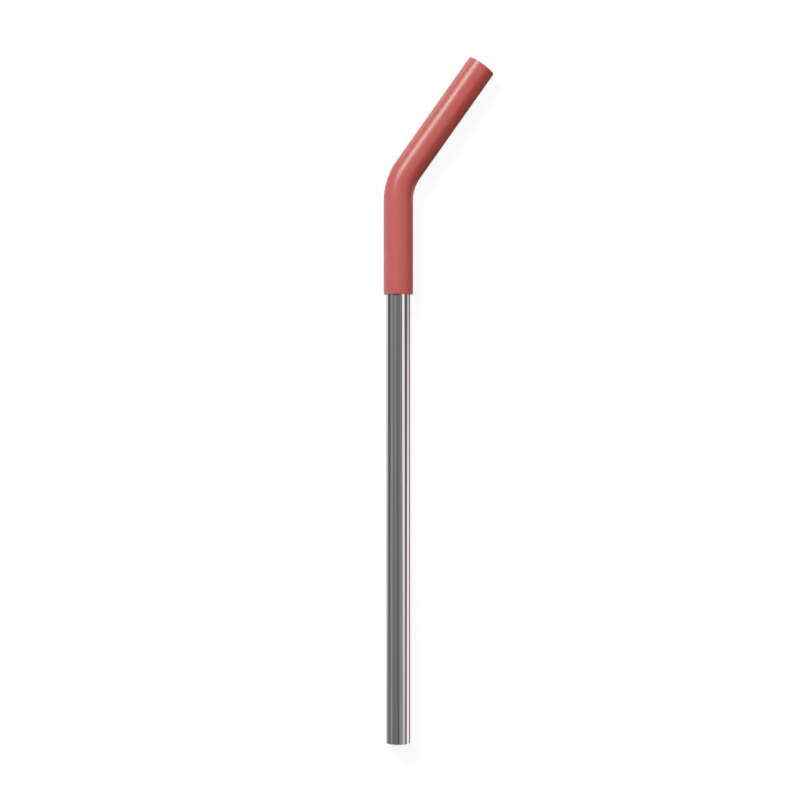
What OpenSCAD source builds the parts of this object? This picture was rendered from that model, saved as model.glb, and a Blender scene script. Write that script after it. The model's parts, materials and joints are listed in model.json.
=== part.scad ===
// Reusable drinking straw: a straight stainless steel tube with a bent silicone
// mouthpiece pushed over its upper end. It lies on its side, as it comes to rest
// on a table. Sizes are in millimetres.

/* [Steel tube] */
// Outer diameter of the tube
tube_od = 8; // [6:0.5:12]
// Thickness of the tube's wall
tube_wall = 0.5; // [0.3:0.05:0.8]
// Length of the tube, end to end
tube_length = 180; // [120:1:240]

/* [Silicone tip] */
// Thickness of the silicone over the tube
tip_wall = 1; // [0.8:0.1:2]
// How far the tip's leg reaches down over the tube
socket_depth = 27.4; // [12:0.1:40]
// Straight stretch from the shoulder that stops the tube to the bend
stop_length = 4.5; // [2:0.5:12]
// Radius of the bend, to the middle of the passage
bend_radius = 18.5; // [10:0.5:40]
// Angle that the bend turns through
bend_angle = 35.25; // [15:0.25:75]
// Length of the arm, from the bend to the mouth
arm_length = 43.3; // [20:0.1:70]
// Rounding of the mouth's edges
mouth_round = 0.3; // [0.1:0.05:0.5]
// Rounding of the edges at the leg's rim
rim_round = 0.3; // [0.1:0.05:0.3]

/* [Fit] */
// Clearance between the tube and its socket, on the radius
grip_clearance = 0.04; // [0.02:0.01:0.1]
// Clearance between the tube's end and the shoulder
stop_clearance = 0.1; // [0.05:0.05:0.5]

/* [Hidden] */
$fn = 96;

tube_r = tube_od / 2;
bore_r = tube_r - tube_wall;
// The tube's ends are rounded over the whole wall
lip_r = tube_wall / 2;
tip_r = tube_r + tip_wall;
socket_r = tube_r + grip_clearance;

// Places along the tube, measured from its lower end
shoulder_y = tube_length + stop_clearance;
rim_y = shoulder_y - socket_depth;
bend_y = shoulder_y + stop_length;

// Centre of the circle that the mouth's rounding runs around, and its radius
mouth_run = arm_length - mouth_round;
mouth = [bend_radius * (1 - cos(bend_angle)) + mouth_run * sin(bend_angle),
    bend_y + bend_radius * sin(bend_angle) + mouth_run * cos(bend_angle)];
mouth_ring_r = tip_r - mouth_round;

// At rest the tube's lower end and the leg's rim touch the table, which pitches the straw
rest_run = rim_y + rim_round - lip_r;
rest_rise = (tip_r - rim_round) - (tube_r - lip_r);
rest_pitch = atan2(rest_rise, rest_run)
    + asin((rim_round - lip_r) / norm([rest_run, rest_rise]));
rest_height = (tube_r - lip_r) * cos(rest_pitch) + lip_r * (1 - sin(rest_pitch));
// It then rolls until the mouth touches the table too
rest_roll = asin((mouth.y * sin(rest_pitch) + rest_height - tip_r)
    / (mouth.x * cos(rest_pitch)));

// Middle of the outline, seen from above
reach = mouth + mouth_ring_r * [cos(bend_angle), sin(bend_angle)]
    + [mouth_round, mouth_round];
centre = [(reach.x - tip_r) / 2, reach.y / 2];

// Each half of the bend is drawn this many degrees too long and cut off square
overrun = 10;

// Lays a piece down on the table, centred over the origin
module at_rest() {
    translate([-centre.x, -centre.y, rest_height])
        rotate([rest_pitch, 0, 0])
            rotate([0, rest_roll, 0])
                children();
}

// Revolves a section so that its y = 0 end lies at length along -Y and it runs up to y = 0
module revolve_down(length) {
    translate([0, -length, 0]) rotate([-90, 0, 0]) rotate_extrude() children();
}

// Section of a wall from y = 0 up to length, with both edges at y = 0 rounded
module rounded_wall(inner, outer, length, radius) {
    translate([inner, radius]) square([outer - inner, length - radius]);
    translate([inner + radius, 0]) square([outer - inner - 2 * radius, radius]);
    for (x = [inner + radius, outer - radius])
        translate([x, radius]) circle(radius);
}

// Section of the tube's wall, with a full round at each end
module tube_section() {
    translate([bore_r, lip_r]) square([tube_wall, tube_length - 2 * lip_r]);
    for (y = [lip_r, tube_length - lip_r])
        translate([bore_r + lip_r, y]) circle(lip_r);
}

// The straight leg: a socket for the tube, then the passage above its shoulder
module leg() {
    revolve_down(socket_depth + stop_length) {
        rounded_wall(socket_r, tip_r, socket_depth, rim_round);
        translate([bore_r, socket_depth]) square([tip_r - bore_r, stop_length]);
    }
}

// The straight arm, with the mouth at its end
module arm() {
    revolve_down(arm_length) rounded_wall(bore_r, tip_r, arm_length, mouth_round);
}

// Half of the bend around the origin, cut off at y = 0, with a straight piece at its lower end
module half_bend() {
    difference() {
        rotate([0, 0, bend_angle / 2]) {
            translate([-bend_radius, 0, 0]) children();
            rotate([0, 0, 180])
                rotate_extrude(angle = -(bend_angle / 2 + overrun))
                    translate([bend_radius, 0])
                        difference() {
                            circle(tip_r);
                            circle(bore_r);
                        }
        }
        translate([-2 * bend_radius, 0, -2 * tip_r])
            cube([2 * bend_radius, bend_radius, 4 * tip_r]);
    }
}

module steel_tube() {
    color("silver") at_rest()
        translate([0, tube_length, 0]) revolve_down(tube_length) tube_section();
}

module silicone_tip() {
    color("indianred") at_rest()
        translate([bend_radius, bend_y, 0]) rotate([0, 0, -bend_angle / 2]) {
            half_bend() leg();
            mirror([0, 1, 0]) half_bend() arm();
        }
}

steel_tube();
silicone_tip();
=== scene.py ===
"""The looks of the reusable straw: a polished steel tube with a soft silicone tip, on a white table."""

import json
import math

import bmesh
import bpy
from mathutils import Matrix, Vector

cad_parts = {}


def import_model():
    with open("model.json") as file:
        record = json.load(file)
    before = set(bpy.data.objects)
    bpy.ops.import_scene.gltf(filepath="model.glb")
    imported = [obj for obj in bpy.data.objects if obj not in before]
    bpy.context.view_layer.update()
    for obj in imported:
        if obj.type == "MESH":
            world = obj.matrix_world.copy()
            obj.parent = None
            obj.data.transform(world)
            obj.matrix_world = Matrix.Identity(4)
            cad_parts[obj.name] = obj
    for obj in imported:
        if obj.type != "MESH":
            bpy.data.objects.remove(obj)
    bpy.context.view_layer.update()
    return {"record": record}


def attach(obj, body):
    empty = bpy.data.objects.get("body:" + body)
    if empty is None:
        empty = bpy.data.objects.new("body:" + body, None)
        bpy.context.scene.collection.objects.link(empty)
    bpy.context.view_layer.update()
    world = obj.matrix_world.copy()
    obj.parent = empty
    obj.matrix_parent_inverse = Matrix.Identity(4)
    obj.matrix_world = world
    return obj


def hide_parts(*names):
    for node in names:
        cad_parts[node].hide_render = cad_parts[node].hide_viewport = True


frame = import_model()

# Sizes of the two pieces, in metres, as in the CAD source
TUBE_R = 0.004
BORE_R = 0.0035
TUBE_LENGTH = 0.180
TIP_R = 0.005
SOCKET_R = 0.00404
SOCKET_DEPTH = 0.0274
STOP_CLEARANCE = 0.0001
STOP_LENGTH = 0.0045
BEND_RADIUS = 0.0185
ARM_LENGTH = 0.0433
MOUTH_ROUND = 0.0003
RIM_ROUND = 0.0003
LIP_R = (TUBE_R - BORE_R) / 2

# Fineness of the meshes: steps around the straw, on a rounded edge and along each kind of wall
SEGMENTS = 180
ARC_STEPS = 8
BEND_STEPS = 48
TUBE_STEPS = 12
OUTSIDE_STEPS = 8
INSIDE_STEPS = 4
STOP_STEPS = 2
# How close to each end of a wall its first and last points lie, in metres, to keep the shading even
SUPPORT = 0.00005

# The photograph's view: where it shows the tube, how large, and how strong its perspective is
IMAGE_PX = 800
TUBE_AXIS_PX = 398.33
TUBE_END_PX = 743.2
PX_PER_METRE = 2938
FOCAL_PX = 2110
SENSOR_MM = 36
VIEW_DISTANCE_LIMIT = 10

MM_PER_METRE = 1000

# Colours of the materials, in linear values
WHITE = (1, 1, 1, 1)
STEEL = (0.62, 0.61, 0.61, 1)
# Painted shade: the steel's colour where the tip's rim comes near it
PAINTED_SHADE_STEEL = (0.06, 0.045, 0.045, 1)
SILICONE_DEEP = (0.49, 0.084, 0.071, 1)
SILICONE_PALE = (0.53, 0.093, 0.079, 1)

# Roughness of the materials, and the shares of their noise between which it changes
STEEL_ROUGHNESS = (0.07, 0.16)
STEEL_NOISE_SPAN = (0.1, 0.45)
SILICONE_ROUGHNESS = (0.30, 0.35)
SILICONE_NOISE_SPAN = (0.3, 0.7)

# The rim's shade, painted into the steel's colour: how near another surface must come to darken it, in
# metres, and the shares of open air between which the steel goes from its painted shade to its own colour
CONTACT = 0.0007
OPEN_AIR = (0.6, 0.95)
# Where across the tube, in millimetres, that painted shade is deepest, between which distances from there
# it gives way, and by how much
SHADE_SIDE = -0.9
SHADE_FADES = (0.4, 2.1)
SHADE_RELIEF = 0.4

# The table: its size, and its paint and its glow as matt surfaces, reflections and the camera see them
TABLE_SIZE = 6
TABLE_PAINT = (0.6, 0.55, 0.2)
TABLE_GLOW = (0, 0.4, 0.84)

# The square lamps: their distance and size, in metres, and the name, direction and level of each
LAMP_DISTANCE = 0.8
LAMP_SIZE = 0.3
KEY_DIRECTION = (-0.47, 0.50, 0.727)
LAMPS = (
    ("key", KEY_DIRECTION, 0.6),
    ("top", (0, 0, 1), 0.42),
    ("kicker", (0.68, 0.68, 0.26), 0.3),
    ("fill", (-0.75, -0.6, 0.25), 0.12),
)
GLEAM_LEVEL = 0.66
GLEAM_COLOUR = (0.5, 1, 0.92)
# The share of white that the world gives matt surfaces from all sides
AMBIENT = 0.12

# The reflectors: how far from the surface they lie, in metres, around the tube and beside the tip
TUBE_REACH = 0.0006
TIP_REACH = 0.012
# The share of that distance for those that lie in front of others
FRONT = 0.95
# How far below the straw's axis they may lie, in metres
TABLE_DROP = 0.0037
# The width of their strips, as a share of the piece's radius, and their number of stretches along the
# tube
STRIP_SHARE = 0.02
TUBE_STRETCHES = 8
# How far those around the tube run on past its lower end, past the tip's rim and past the tip's
# shoulder, and those beside the tip past the mouth and past the start of the bend, in metres
PAST_END = 0.02
PAST_RIM = 0.0008
PAST_SHOULDER = 0.003
PAST_MOUTH = 0.006
PAST_LEG = 0.001
# Where along the arm its card and its flag start, in metres
ARM_CARD_START = 0.002
ARM_FLAG_START = -0.001

# Tints of the reflectors, each at the low end and the high end
PLAIN = (WHITE, WHITE)
BLUSH = ((1, 0.93, 0.97, 1), (1, 0.93, 0.86, 1))
ROSE = ((1, 0.52, 0.58, 1), (1, 0.45, 0.35, 1))
PINK = ((1, 0.87, 0.9, 1), (1, 0.87, 0.9, 1))
# The power of the way up by which a tint goes from the one to the other
TINT_POWER = 4

# How far the tube's bands drift to the right towards its lower end, and how far the right card does
TWIST = 0.085
CARD_TWIST = -0.03
# The canopy's grey and how much it lightens to the right, each at the low end and the high end
CANOPY_GREY = (0.34, 0.24)
CANOPY_SLOPE = (0.33, 0.14)
# Its soft bands: centre and strength, each at the low end and the high end, and width
CANOPY_BANDS = (
    ((-0.64, -0.56), (0.30, 0.26), 0.10),
    ((-0.33, -0.27), (-0.04, 0.21), 0.10),
    ((-0.07, -0.08), (-0.22, -0.01), 0.084),
)


def mount(name):
    """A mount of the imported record: its point and its axis."""
    found = [m for m in frame["record"]["mounts"] if m["name"] == name][0]
    return Vector(found["pos_m"]), Vector(found["axis"]).normalized()


def straw_space():
    """The matrix from the straw's own space to the row, and the angle of the bend.

    In the straw's own space Y runs up the tube from its lower end, and X is the side that the arm
    bends to.
    """
    middle, outwards = mount("tube_bore")
    arm = mount("mouth_bore")[1]
    along = -outwards
    across = (arm - arm.dot(along) * along).normalized()
    up = across.cross(along)
    turn = Matrix((across, along, up)).transposed().to_4x4()
    return Matrix.Translation(middle - along * TUBE_LENGTH / 2) @ turn, along.angle(arm)


# Places along the straw's middle line, as distances from the tube's lower end
TO_ROW, BEND_ANGLE = straw_space()
SHOULDER = TUBE_LENGTH + STOP_CLEARANCE
RIM = SHOULDER - SOCKET_DEPTH
BEND_START = SHOULDER + STOP_LENGTH
BEND_END = BEND_START + BEND_RADIUS * BEND_ANGLE
MOUTH = BEND_END + ARM_LENGTH


def on_path(run):
    """The point on the straw's middle line at that distance, and the direction across it."""
    if run <= BEND_START:
        return Vector((0, run, 0)), Vector((1, 0, 0))
    angle = min(run - BEND_START, BEND_END - BEND_START) / BEND_RADIUS
    along = Vector((math.sin(angle), math.cos(angle), 0))
    across = Vector((math.cos(angle), -math.sin(angle), 0))
    start = Vector((BEND_RADIUS, BEND_START, 0)) - BEND_RADIUS * across
    return start + max(run - BEND_END, 0) * along, across


def arm_space():
    """The matrix from the arm's own space to the row: Y runs along the arm from the bend."""
    start = on_path(BEND_END)[0]
    return TO_ROW @ Matrix.Translation(start) @ Matrix.Rotation(-BEND_ANGLE, 4, "Z")


def between(ends, share):
    """The value that lies that share of the way from the first of a pair to the second."""
    return ends[0] + (ends[1] - ends[0]) * share


def risen(value, start, end):
    """How far the value has come from start to end, from 0 to 1."""
    return min(max((value - start) / (end - start), 0), 1)


def arc(radius, centre_r, centre_run, start, end):
    """Points (radius, run) on a rounded edge between two angles in degrees: 0 is outwards, 90 is up."""
    points = []
    for i in range(ARC_STEPS + 1):
        angle = math.radians(between((start, end), i / ARC_STEPS))
        points.append((centre_r + radius * math.cos(angle), centre_run + radius * math.sin(angle)))
    return points


def wall(radius, start, end, steps):
    """Points (radius, run) along a wall, from just after its start to just before its end."""
    way = math.copysign(SUPPORT, end - start)
    ends = (start + way, end - way)
    return [(radius, between(ends, i / steps)) for i in range(steps + 1)]


def tube_profile():
    """The section of the tube's wall, with its rounded lips."""
    middle_r = BORE_R + LIP_R
    low, high = LIP_R, TUBE_LENGTH - LIP_R
    return (
        arc(LIP_R, middle_r, low, -180, 0)
        + wall(TUBE_R, low, high, TUBE_STEPS)
        + arc(LIP_R, middle_r, high, 0, 180)
        + wall(BORE_R, high, low, TUBE_STEPS)
    )


def tip_profile():
    """The section of the tip's wall: up its outside, round the mouth, down its passage and its socket."""
    rim_run, mouth_run = RIM + RIM_ROUND, MOUTH - MOUTH_ROUND
    return (
        arc(RIM_ROUND, TIP_R - RIM_ROUND, rim_run, -90, 0)
        + wall(TIP_R, rim_run, BEND_START, OUTSIDE_STEPS)
        + wall(TIP_R, BEND_START, BEND_END, BEND_STEPS)
        + wall(TIP_R, BEND_END, mouth_run, OUTSIDE_STEPS)
        + arc(MOUTH_ROUND, TIP_R - MOUTH_ROUND, mouth_run, 0, 90)
        + arc(MOUTH_ROUND, BORE_R + MOUTH_ROUND, mouth_run, 90, 180)
        + wall(BORE_R, mouth_run, BEND_END, INSIDE_STEPS)
        + wall(BORE_R, BEND_END, BEND_START, BEND_STEPS)
        + wall(BORE_R, BEND_START, SHOULDER, STOP_STEPS)
        + [(BORE_R, SHOULDER), (SOCKET_R, SHOULDER)]
        + wall(SOCKET_R, SHOULDER, rim_run, INSIDE_STEPS)
        + arc(RIM_ROUND, SOCKET_R + RIM_ROUND, rim_run, 180, 270)
    )


def stitch(build, rows, closed):
    """Adds the faces between neighbouring rows of points, and those that close the surface both ways."""
    count = len(rows[0])
    for row, after in zip(rows, rows[1:] + rows[:1] if closed else rows[1:]):
        for i in range(count if closed else count - 1):
            j = (i + 1) % count
            build.faces.new((row[i], row[j], after[j], after[i]))


def finish_mesh(name, build, material):
    """An object in the scene from a mesh in progress."""
    mesh = bpy.data.meshes.new(name)
    build.to_mesh(mesh)
    build.free()
    mesh.materials.append(material)
    made = bpy.data.objects.new(name, mesh)
    bpy.context.scene.collection.objects.link(made)
    return made


def skin(name, profile, material):
    """A closed hollow piece: its section's points (radius, run) carried around the straw's path.

    The attribute unbent holds each point as it lies with the path pulled straight.
    """
    build = bmesh.new()
    unbent = build.verts.layers.float_vector.new("unbent")
    rings = []
    for radius, run in profile:
        centre, across = on_path(run)
        ring = []
        for i in range(SEGMENTS):
            turn = 2 * math.pi * i / SEGMENTS
            side, rise = radius * math.cos(turn), radius * math.sin(turn)
            vert = build.verts.new(TO_ROW @ (centre + side * across + Vector((0, 0, rise))))
            vert[unbent] = (side, run, rise)
            ring.append(vert)
        rings.append(ring)
    stitch(build, rings, closed=True)
    bmesh.ops.recalc_face_normals(build, faces=build.faces)
    for face in build.faces:
        face.smooth = True
    return finish_mesh(name, build, material)


def feed(node, sources):
    """Links a node's inputs to the sockets given for them, and sets the others to their values."""
    for name, source in sources.items():
        if isinstance(source, bpy.types.NodeSocket):
            node.id_data.links.new(source, node.inputs[name])
        else:
            node.inputs[name].default_value = source


def add(tree, kind, sources=None, **settings):
    """Adds a node to the tree, with its settings and its inputs, and gives its outputs."""
    node = tree.nodes.new(kind)
    for key, value in settings.items():
        setattr(node, key, value)
    feed(node, sources or {})
    return node.outputs


def worked_out(tree, operation, *values):
    """The result of a calculation on values or sockets."""
    return add(tree, "ShaderNodeMath", dict(enumerate(values)), operation=operation)[0]


def mapped(tree, value, source, target):
    """The value carried from one range to another, and held at its ends."""
    ranges = {"From Min": source[0], "From Max": source[1], "To Min": target[0], "To Max": target[1]}
    return add(tree, "ShaderNodeMapRange", {"Value": value, **ranges})["Result"]


def ramp(tree, value, positions, colours):
    """A colour that goes from the first to the second between two positions of the value."""
    colour = add(tree, "ShaderNodeValToRGB", {"Fac": value})["Color"]
    for element, position, tone in zip(colour.node.color_ramp.elements, positions, colours):
        element.position = position
        element.color = tone
    return colour


def pulled_straight(tree, stretch=1):
    """The unbent place of each point, in millimetres, scaled along the straw's length by stretch."""
    place = add(tree, "ShaderNodeAttribute", attribute_name="unbent")["Vector"]
    scale = (MM_PER_METRE, MM_PER_METRE * stretch, MM_PER_METRE)
    return add(tree, "ShaderNodeMapping", {"Vector": place, "Scale": scale})["Vector"]


def noise(tree, stretch, scale, detail, roughness=0.5):
    """Noise that follows the straw's path, drawn out along it where stretch is below 1."""
    shape = {"Scale": scale, "Detail": detail, "Roughness": roughness}
    return add(tree, "ShaderNodeTexNoise", {"Vector": pulled_straight(tree, stretch), **shape})["Fac"]


def bump(tree, height, strength, distance):
    """The normal of a surface with that relief, whose depth is in metres."""
    relief = {"Height": height, "Strength": strength, "Distance": distance}
    return add(tree, "ShaderNodeBump", relief)["Normal"]


def new_material(name):
    """A material with nodes, its node tree and its shader."""
    material = bpy.data.materials.new(name)
    material.use_nodes = True
    return material, material.node_tree, material.node_tree.nodes["Principled BSDF"]


def steel():
    """Polished drawn steel: a mirror with faint draw lines and slight haze, with shade painted into its
    colour where the tip's rim comes near.
    """
    material, tree, shader = new_material("polished_steel")
    # Painted shade: the base colour darkens where the tip's rim is near, found by ambient occlusion, and
    # more so on the tube's left side
    near = add(tree, "ShaderNodeAmbientOcclusion", {"Distance": CONTACT})["AO"]
    side = add(tree, "ShaderNodeSeparateXYZ", {"Vector": pulled_straight(tree)})["X"]
    off = worked_out(tree, "ABSOLUTE", worked_out(tree, "SUBTRACT", side, SHADE_SIDE))
    relief = mapped(tree, off, SHADE_FADES, (0, SHADE_RELIEF))
    open_air = worked_out(tree, "ADD", near, relief)
    lines = noise(tree, stretch=0.01, scale=9, detail=6, roughness=0.65)
    haze = noise(tree, stretch=0.12, scale=0.7, detail=3)
    worn = worked_out(tree, "MULTIPLY", lines, haze)
    feed(shader, {
        "Base Color": ramp(tree, open_air, OPEN_AIR, (PAINTED_SHADE_STEEL, STEEL)),
        "Metallic": 1,
        "Roughness": mapped(tree, worn, STEEL_NOISE_SPAN, STEEL_ROUGHNESS),
        "Normal": bump(tree, lines, strength=0.03, distance=0.00002),
    })
    return material


def silicone():
    """Soft coral silicone: satin, slightly cloudy in colour, with the fine grain of its mould."""
    material, tree, shader = new_material("silicone")
    clouds = noise(tree, stretch=0.5, scale=0.35, detail=4, roughness=0.6)
    grain = noise(tree, stretch=1, scale=6, detail=5, roughness=0.6)
    feed(shader, {
        "Base Color": ramp(tree, clouds, SILICONE_NOISE_SPAN, (SILICONE_DEEP, SILICONE_PALE)),
        "Roughness": mapped(tree, grain, SILICONE_NOISE_SPAN, SILICONE_ROUGHNESS),
        "Normal": bump(tree, grain, strength=0.08, distance=0.00004),
        "IOR": 1.6,
        "Subsurface Weight": 0.5,
        "Subsurface Radius": (1.0, 0.25, 0.15),
        "Subsurface Scale": 0.0015,
    })
    return material


def floor():
    """A wide pale table. The camera and reflections see it glow towards white, and its shadows stay."""
    material, tree, shader = new_material("table")
    path = add(tree, "ShaderNodeLightPath")
    mirrored = worked_out(tree, "MAXIMUM", path["Is Glossy Ray"], path["Is Transmission Ray"])

    def seen(plain, reflected, direct):
        """A value for matt surfaces, one for reflections and one for the camera."""
        indirect = mapped(tree, mirrored, (0, 1), (plain, reflected))
        return mapped(tree, path["Is Camera Ray"], (0, 1), (indirect, direct))

    feed(shader, {
        "Base Color": seen(*TABLE_PAINT),
        "Emission Strength": seen(*TABLE_GLOW),
        "Emission Color": WHITE,
        "Roughness": 1,
        "Specular IOR Level": 0,
    })
    bpy.ops.mesh.primitive_plane_add(size=TABLE_SIZE)
    plane = bpy.context.object
    plane.name = "table"
    plane.data.materials.append(material)


def world():
    """White wherever the camera, a reflection or glass looks, and a dimmer fill for matt surfaces."""
    sky = bpy.data.worlds.new("studio")
    bpy.context.scene.world = sky
    sky.use_nodes = True
    tree = sky.node_tree
    path = add(tree, "ShaderNodeLightPath")
    mirrored = worked_out(tree, "MAXIMUM", path["Is Glossy Ray"], path["Is Transmission Ray"])
    seen = worked_out(tree, "MAXIMUM", path["Is Camera Ray"], mirrored)
    strength = mapped(tree, seen, (0, 1), (AMBIENT, 1))
    feed(tree.nodes["Background"], {"Color": WHITE, "Strength": strength})


def camera():
    """Above the straw and square to its plane, at the photograph's distance and framing."""
    data = bpy.data.cameras.new("camera")
    data.sensor_width = SENSOR_MM
    data.lens = SENSOR_MM * FOCAL_PX / IMAGE_PX
    data.clip_end = VIEW_DISTANCE_LIMIT
    holder = bpy.data.objects.new("camera", data)
    bpy.context.scene.collection.objects.link(holder)
    place = Vector((
        (IMAGE_PX / 2 - TUBE_AXIS_PX) / PX_PER_METRE,
        (TUBE_END_PX - IMAGE_PX / 2) / PX_PER_METRE,
        FOCAL_PX / PX_PER_METRE,
    ))
    holder.matrix_world = TO_ROW @ Matrix.Translation(place)
    bpy.context.scene.camera = holder


def softbox(name, direction, level):
    """A square lamp that faces the arm and that reflections don't see.

    Its level is the share of white that it gives a surface that faces it.
    """
    lamp = bpy.data.lights.new(name, "AREA")
    lamp.shape = "SQUARE"
    lamp.size = LAMP_SIZE
    lamp.energy = level * (math.pi * LAMP_DISTANCE) ** 2
    holder = bpy.data.objects.new(name, lamp)
    bpy.context.scene.collection.objects.link(holder)
    arm = TO_ROW @ on_path((BEND_END + MOUTH) / 2)[0]
    way = Vector(direction).normalized()
    holder.location = arm + way * LAMP_DISTANCE
    holder.rotation_euler = way.to_track_quat("Z", "Y").to_euler()
    holder.visible_glossy = False
    return holder


def lights(piece):
    """Four lamps that light matt surfaces, with the key at the upper left, and a gleam on one piece."""
    for name, direction, level in LAMPS:
        softbox(name, direction, level)
    gleam = softbox("gleam", KEY_DIRECTION, GLEAM_LEVEL)
    gleam.data.color = GLEAM_COLOUR
    gleam.visible_glossy = True
    gleam.visible_diffuse = False
    gleam.visible_transmission = False
    shiny = bpy.data.collections.new("gleam_falls_on")
    shiny.objects.link(piece)
    gleam.light_linking.receiver_collection = shiny


def glow(name, tints):
    """The material of a reflector, whose strength and tint follow its attributes level and up."""
    material, tree, _ = new_material(name)
    strength = add(tree, "ShaderNodeAttribute", attribute_name="level")["Fac"]
    height = add(tree, "ShaderNodeAttribute", attribute_name="up")["Fac"]
    # Inputs 0, 6 and 7 and output 2 are the mix node's factor, two colours and result
    colour = add(tree, "ShaderNodeMix", {0: height, 6: tints[0], 7: tints[1]}, data_type="RGBA")[2]
    light = add(tree, "ShaderNodeEmission", {"Color": colour, "Strength": strength})["Emission"]
    feed(tree.nodes["Material Output"], {"Surface": light})
    return material


def reflector(name, place, shares, level, twist=0, nearness=1, tints=PLAIN):
    """A panel that only reflections see, along a straight stretch of the straw.

    place is the stretch's space, whose Y axis it follows, its radius, how far from the surface the panel
    lies, and its stations, each a run along the axis with the share of the way up. shares says where the
    camera sees the panel across the stretch's width, from -1 at its left edge to 1 at its right. level
    gives its brightness by the share across and the share of the way up, and twist shifts its low end by
    up to that share. The panel lies no lower than the table, and nearness draws it closer to the surface,
    in front of others. tints are the colours of its low end and its high end.
    """
    space, radius, reach, stations = place
    build = bmesh.new()
    levels = build.verts.layers.float.new("level")
    heights = build.verts.layers.float.new("up")
    strips = math.ceil((shares[1] - shares[0]) / STRIP_SHARE)
    rows = []
    for i in range(strips + 1):
        share = between(shares, i / strips)
        row = []
        for run, up in stations:
            lean = math.asin(share + twist * (1 - share ** 2) * (1 - up))
            surface = radius * Vector((math.sin(lean), 0, math.cos(lean)))
            # The way that a surface with that lean sends a look from straight above
            way = Vector((math.sin(2 * lean), 0, math.cos(2 * lean)))
            far = reach * nearness
            if way.z < 0:
                far = min(far, (TABLE_DROP + surface.z) / -way.z)
            vert = build.verts.new(space @ (surface + far * way + Vector((0, run, 0))))
            vert[levels] = level(share, up)
            vert[heights] = up ** TINT_POWER
            row.append(vert)
        rows.append(row)
    stitch(build, rows, closed=False)
    panel = finish_mesh(name, build, glow(name, tints))
    panel.visible_camera = False
    panel.visible_diffuse = False
    panel.visible_shadow = False
    panel.visible_transmission = False
    panel.visible_volume_scatter = False


def canopy_level(share, up):
    """Grey, lighter to the right, with soft bands that drift and change on the way up the tube."""
    level = between(CANOPY_GREY, up) + between(CANOPY_SLOPE, up) * share
    for centres, strengths, width in CANOPY_BANDS:
        level += between(strengths, up) * math.exp(-((share - between(centres, up)) / width) ** 2)
    return level


def strip_level(share, up):
    """White near the tip, and dimmer towards the tube's lower end."""
    return 1.35 - 0.75 * (1 - up) ** 2


def right_flag_level(share, up):
    """Dark, and lighter towards the card at the tube's lower end."""
    return 0.23 - 0.06 * up + 0.13 * (1 - up) * risen(share, 0.58, 0.66)


def right_card_level(share, up):
    """White at the tube's lower end, and about half as bright at the tip."""
    return 1.57 - 0.77 * up ** 3


def left_flag_level(share, up):
    """Dark, and lighter towards the left edge and the tube's lower end."""
    return 0.22 - 0.1 * up + 0.2 * risen(-share, 0.8, 0.9)


def left_card_level(share, up):
    """Grey at the tube's lower end, and white at the tip."""
    return 0.5 + 0.68 * up


def even(level):
    """The same level all over."""
    return lambda share, up: level


def eased(level):
    """A level that is halved at the very left edge, where reflections are strongest."""
    return lambda share, up: level * (1 - 0.5 * risen(-share, 0.86, 0.94))


def tube_reflectors():
    """Around the tube: a grey canopy with soft bands, a white strip, and flags, cards and lines.

    They lie close around the tube and run on inside the tip's wall, for the tube that is pulled out.
    """
    ends = (-PAST_END, RIM + PAST_RIM)
    ups = [j / TUBE_STRETCHES for j in range(TUBE_STRETCHES + 1)]
    stations = [(between(ends, up), up) for up in ups] + [(SHOULDER + PAST_SHOULDER, 1)]
    place = (TO_ROW, TUBE_R, TUBE_REACH, stations)
    reflector("canopy", place, (-0.78, 0.328), canopy_level, TWIST)
    reflector("strip", place, (0.328, 0.516), strip_level, TWIST)
    reflector("right_flag", place, (0.516, 0.78), right_flag_level, TWIST)
    reflector("right_card", place, (0.758, 0.905), right_card_level, CARD_TWIST, FRONT, BLUSH)
    reflector("right_line", place, (0.905, 0.99), even(0.13), CARD_TWIST, FRONT, ROSE)
    reflector("left_flag", place, (-0.889, -0.715), left_flag_level, nearness=FRONT)
    reflector("left_card", place, (-0.97, -0.889), left_card_level, nearness=FRONT, tints=PINK)
    reflector("left_line", place, (-0.998, -0.97), even(0.03), nearness=FRONT)


def tip_reflectors():
    """Beside the tip: bright cards on the left, which edge it with light, and dark flags on the right."""
    arm, arm_end = arm_space(), ARM_LENGTH + PAST_MOUTH
    right_of_arm = (arm, TIP_R, TIP_REACH, [(ARM_FLAG_START, 0), (arm_end, 1)])
    left_of_arm = (arm, TIP_R, TIP_REACH, [(ARM_CARD_START, 0), (arm_end, 1)])
    beside_leg = (TO_ROW, TIP_R, TIP_REACH, [(RIM, 0), (BEND_START + PAST_LEG, 1)])
    reflector("arm_flag", right_of_arm, (0.38, 0.985), even(0.02))
    reflector("arm_card", left_of_arm, (-0.985, -0.75), eased(1.75))
    reflector("leg_flag", beside_leg, (0.52, 0.985), even(0.27))
    reflector("leg_card", beside_leg, (-0.985, -0.8), eased(1.4))


tube = skin("tube_skin", tube_profile(), steel())
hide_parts("steel_tube")
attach(tube, "tube")

tip = skin("tip_skin", tip_profile(), silicone())
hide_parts("silicone_tip")
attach(tip, "tip")

floor()
camera()
lights(tip)
world()
tube_reflectors()
tip_reflectors()
bpy.context.scene.view_settings.view_transform = "Standard"
